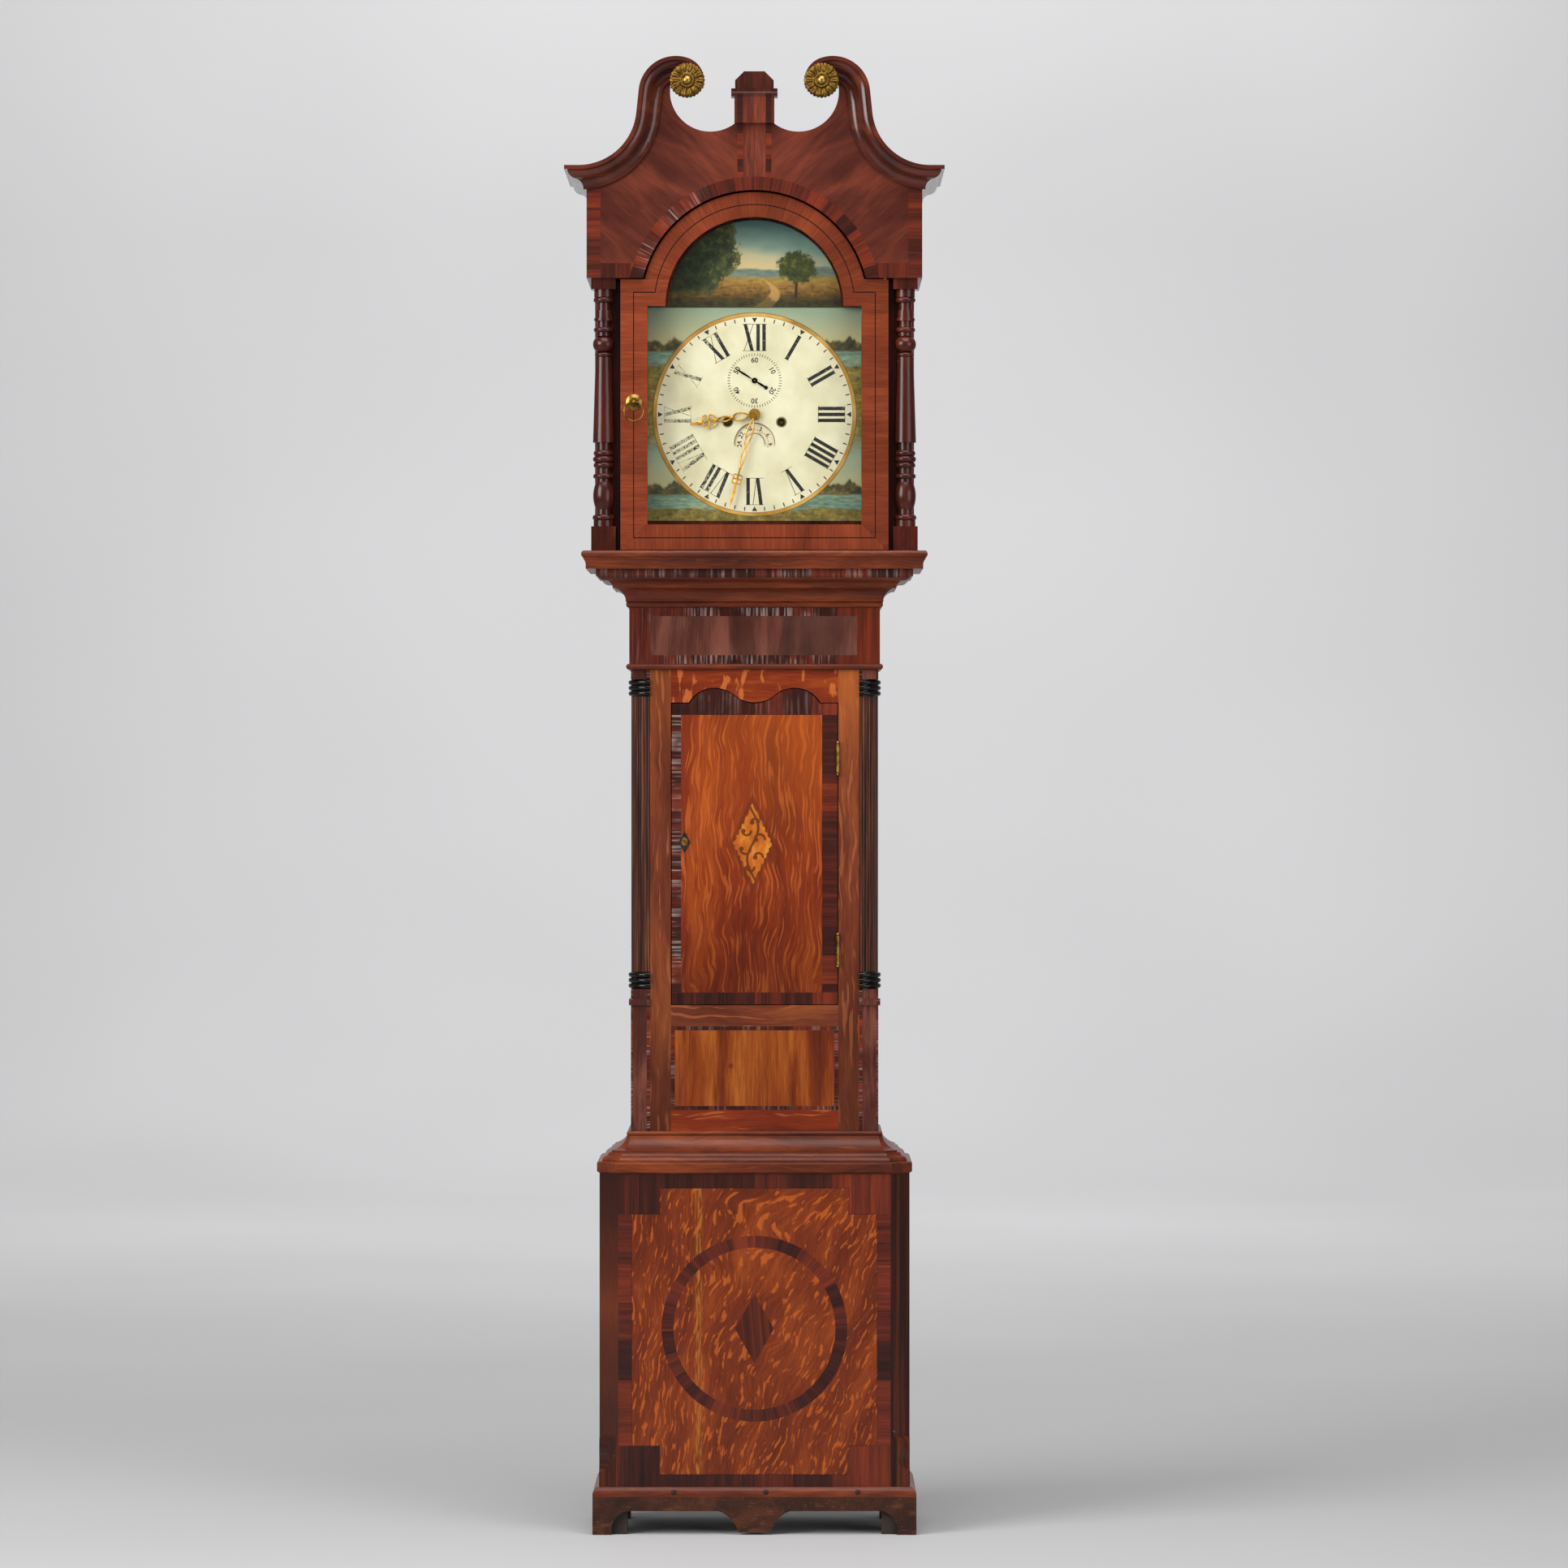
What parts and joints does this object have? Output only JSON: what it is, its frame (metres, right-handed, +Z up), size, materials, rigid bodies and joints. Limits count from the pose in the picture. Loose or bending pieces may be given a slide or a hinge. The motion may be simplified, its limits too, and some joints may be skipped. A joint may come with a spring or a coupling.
{
  "type": "longcase clock",
  "caption": "Tall wooden longcase clock with swan-neck hood, painted arched dial, weight-driven striking movement, pendulum, hinged trunk door and glazed hood door.",
  "frame": {"origin": "centre of the footprint on the floor", "axes": "+Z up, +X to the viewer's right when facing the dial, +Y towards the wall behind"},
  "size_m": [0.59, 0.3073, 2.2965],
  "materials": {
    "oak": "French polished, quarter sawn",
    "pine": "bare",
    "rosewood": "polished veneer",
    "ebonised": "glossy",
    "mahogany": "French polished",
    "brass_fittings": "aged",
    "glass": "clear",
    "dial_paint": "aged cream paint",
    "gilt": "gilt",
    "movement_brass": "dull",
    "steel": "dark",
    "iron": "matte",
    "gut": "twisted gut"
  },
  "bodies": {
    "case": {"plinth_skirt": "oak", "base_front_panel": "oak", "base_side_panels": "oak", "base_corner_posts": "rosewood", "base_floor": "pine", "base_mouldings": "mahogany", "trunk_side_panels": "oak", "backboards": "pine", "trunk_frame": "rosewood", "lower_panel": "mahogany", "trunk_pedestals": "rosewood", "quarter_columns": "rosewood", "column_rings": "ebonised", "trunk_frieze": "rosewood", "trunk_mouldings": "mahogany", "seatboard": "pine", "trunk_hinges": "brass_fittings", "movement_frame": "movement_brass", "dial": "dial_paint", "back_cock": "movement_brass", "bell": "movement_brass", "going_line": "gut", "strike_line": "gut"},
    "trunk_door": {"trunk_door": "oak", "trunk_door_hinges": "brass_fittings", "trunk_lock": "brass_fittings"},
    "hood": {"hood_base": "mahogany", "hood_carcass": "mahogany", "hood_mask": "mahogany", "hood_columns": "ebonised", "column_blocks": "mahogany", "hood_pediment": "mahogany", "swan_necks": "mahogany", "rosettes": "brass_fittings", "hood_pivots": "brass_fittings"},
    "hood_door": {"hood_door_frame": "mahogany", "hood_door_glass": "glass", "pull_rose": "brass_fittings"},
    "pull_ring": {"pull_ring": "brass_fittings"},
    "minute_arbor": {"minute_hand": "gilt", "centre_wheel": "movement_brass"},
    "hour_pipe": {"hour_hand": "gilt"},
    "motion_wheel": {"motion_wheel": "movement_brass"},
    "third_arbor": {"third_wheel": "movement_brass"},
    "seconds_arbor": {"escape_wheel": "movement_brass", "seconds_hand": "gilt"},
    "going_great_wheel": {"going_great_wheel": "movement_brass"},
    "calendar": {"calendar_disc": "dial_paint"},
    "pendulum": {"pendulum": "movement_brass"},
    "anchor": {"anchor_crutch": "steel"},
    "going_weight": {"going_weight": "iron"},
    "going_barrel": {"going_barrel": "movement_brass"},
    "strike_weight": {"strike_weight": "iron"},
    "strike_barrel": {"strike_barrel": "movement_brass"},
    "strike_great_wheel": {"strike_great_wheel": "movement_brass"},
    "pin_arbor": {"pin_wheel": "movement_brass"},
    "pallet_arbor": {"pallet_wheel": "movement_brass"},
    "warning_arbor": {"warning_wheel": "movement_brass"},
    "fly_arbor": {"strike_fly": "movement_brass"},
    "hammer": {"hammer": "steel"}
  },
  "joints": [
    {"name": "trunk_door_hinge", "type": "hinge", "parent": "case", "child": "trunk_door", "pos_m": [0.13025, -0.0545, 1.05], "axis": [0, 0, 1], "range_deg": [0, 105]},
    {"name": "hood_slide", "type": "slide", "parent": "case", "child": "hood", "axis": [0, -1, 0], "range_m": [0, 0.3]},
    {"name": "hood_door_hinge", "type": "hinge", "parent": "hood", "child": "hood_door", "pos_m": [0.2035, -0.1005, 1.74], "axis": [0, 0, 1], "range_deg": [0, 100]},
    {"name": "pull_ring_hinge", "type": "hinge", "parent": "hood_door", "child": "pull_ring", "pos_m": [-0.1875, -0.1145, 1.762], "axis": [-1, 0, 0], "range_deg": [0, 100]},
    {"name": "minute_spin", "type": "hinge", "parent": "case", "child": "minute_arbor", "pos_m": [0, 0.0035, 1.746], "axis": [0, 1, 0], "continuous": true},
    {"name": "hour_spin", "type": "hinge", "parent": "case", "child": "hour_pipe", "pos_m": [0, 0.0035, 1.746], "axis": [0, 1, 0], "continuous": true},
    {"name": "motion_spin", "type": "hinge", "parent": "case", "child": "motion_wheel", "pos_m": [0, 0.0035, 1.7208], "axis": [0, 1, 0], "continuous": true},
    {"name": "third_spin", "type": "hinge", "parent": "case", "child": "third_arbor", "pos_m": [0.00738, 0.0035, 1.77359], "axis": [0, 1, 0], "continuous": true},
    {"name": "seconds_spin", "type": "hinge", "parent": "case", "child": "seconds_arbor", "pos_m": [0, 0.0035, 1.799], "axis": [0, 1, 0], "continuous": true},
    {"name": "great_spin", "type": "hinge", "parent": "case", "child": "going_great_wheel", "pos_m": [0.042, 0.0035, 1.734], "axis": [0, 1, 0], "continuous": true},
    {"name": "calendar_spin", "type": "hinge", "parent": "case", "child": "calendar", "pos_m": [0, 0.0035, 1.701], "axis": [0, 1, 0], "continuous": true},
    {"name": "pendulum_swing", "type": "hinge", "parent": "case", "child": "pendulum", "pos_m": [0, 0.0655, 1.828], "axis": [0, 1, 0], "range_deg": [-3, 3]},
    {"name": "anchor_rock", "type": "hinge", "parent": "case", "child": "anchor", "pos_m": [0, 0.0035, 1.828], "axis": [0, 1, 0], "range_deg": [-3, 3]},
    {"name": "going_weight_fall", "type": "slide", "parent": "case", "child": "going_weight", "axis": [0, 0, 1], "range_m": [0, 1.1], "deforming": ["going_line"]},
    {"name": "going_barrel_wind", "type": "hinge", "parent": "case", "child": "going_barrel", "pos_m": [0.042, 0.0035, 1.734], "axis": [0, 1, 0], "range_deg": [0, 4900]},
    {"name": "strike_weight_fall", "type": "slide", "parent": "case", "child": "strike_weight", "axis": [0, 0, 1], "range_m": [0, 1.1], "deforming": ["strike_line"]},
    {"name": "strike_barrel_wind", "type": "hinge", "parent": "case", "child": "strike_barrel", "pos_m": [-0.042, 0.0035, 1.734], "axis": [0, 1, 0], "range_deg": [0, 4900]},
    {"name": "pallet_spin", "type": "hinge", "parent": "case", "child": "pallet_arbor", "pos_m": [-0.03278, 0.0035, 1.79397], "axis": [0, 1, 0], "continuous": true},
    {"name": "pin_spin", "type": "hinge", "parent": "case", "child": "pin_arbor", "pos_m": [-0.05013, 0.0035, 1.7692], "axis": [0, 1, 0], "continuous": true},
    {"name": "strike_great_spin", "type": "hinge", "parent": "case", "child": "strike_great_wheel", "pos_m": [-0.042, 0.0035, 1.734], "axis": [0, 1, 0], "continuous": true},
    {"name": "warning_spin", "type": "hinge", "parent": "case", "child": "warning_arbor", "pos_m": [-0.03606, 0.0035, 1.81258], "axis": [0, 1, 0], "continuous": true},
    {"name": "fly_spin", "type": "hinge", "parent": "case", "child": "fly_arbor", "pos_m": [-0.02781, 0.0035, 1.82687], "axis": [0, 1, 0], "continuous": true},
    {"name": "hammer_lift", "type": "hinge", "parent": "case", "child": "hammer", "pos_m": [-0.07812, 0.0035, 1.796], "axis": [0, 1, 0], "range_deg": [-12, 0], "stiffness_Nm_per_rad": 0.05, "springref_deg": 17.19}
  ],
  "couplings": [
    {"joint": "hour_spin", "follows": "minute_spin", "ratio": 0.083333},
    {"joint": "motion_spin", "follows": "minute_spin", "ratio": -1},
    {"joint": "third_spin", "follows": "minute_spin", "ratio": -7.5},
    {"joint": "seconds_spin", "follows": "minute_spin", "ratio": 60},
    {"joint": "great_spin", "follows": "minute_spin", "ratio": -0.083333},
    {"joint": "anchor_rock", "follows": "pendulum_swing", "ratio": 1},
    {"joint": "going_barrel_wind", "follows": "going_weight_fall", "rad_per_m": 77.519},
    {"joint": "strike_barrel_wind", "follows": "strike_weight_fall", "rad_per_m": 77.519},
    {"joint": "pin_spin", "follows": "pallet_spin", "ratio": -0.125},
    {"joint": "strike_great_spin", "follows": "pallet_spin", "ratio": 0.012821},
    {"joint": "warning_spin", "follows": "pallet_spin", "ratio": -8},
    {"joint": "fly_spin", "follows": "pallet_spin", "ratio": 54.857}
  ]
}
